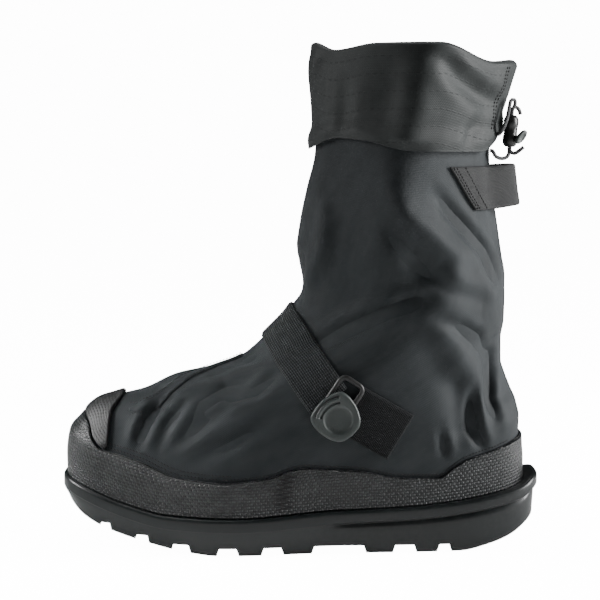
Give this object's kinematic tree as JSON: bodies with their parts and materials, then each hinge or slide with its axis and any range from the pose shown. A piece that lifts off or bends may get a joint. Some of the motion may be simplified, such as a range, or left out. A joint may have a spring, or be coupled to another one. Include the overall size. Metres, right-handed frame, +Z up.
{
  "type": "winter overshoe",
  "caption": "Pull-on winter overshoe with a lugged rubber sole, moulded rand and toe cap, buckled instep strap, rear closure strap and turned-down drawcord cuff.",
  "frame": {"origin": "on the floor, at the middle of the overshoe's bounding box", "axes": "+Z up, the toe towards -X and the heel towards +X, the outer side of the foot with its buckle towards -Y"},
  "size_m": [0.325, 0.1243, 0.3389],
  "materials": {
    "rubber": "matt black moulded rubber",
    "nylon": "black coated nylon with a fine weave",
    "ripstop": "black ripstop cloth",
    "webbing": "black woven webbing",
    "lining": "dark felted footbed",
    "grey_plastic": "mid-grey moulded plastic",
    "black_plastic": "black moulded plastic",
    "cord": "braided elastic cord"
  },
  "bodies": {
    "root": {"outsole": "rubber", "insole": "lining", "upper": "nylon", "rand": "rubber", "toe_cap": "rubber", "vamp_seam": "nylon", "cuff": "ripstop", "instep_strap": "webbing", "buckle_tab": "webbing", "buckle_frame": "black_plastic", "buckle_lever": "grey_plastic", "closure_strap": "webbing", "drawcord_upper": "cord", "drawcord_lower": "cord", "cord_end_high": "cord", "cord_end_low": "cord", "cord_lock": "black_plastic", "cord_lock_button": "grey_plastic"}
  },
  "joints": []
}
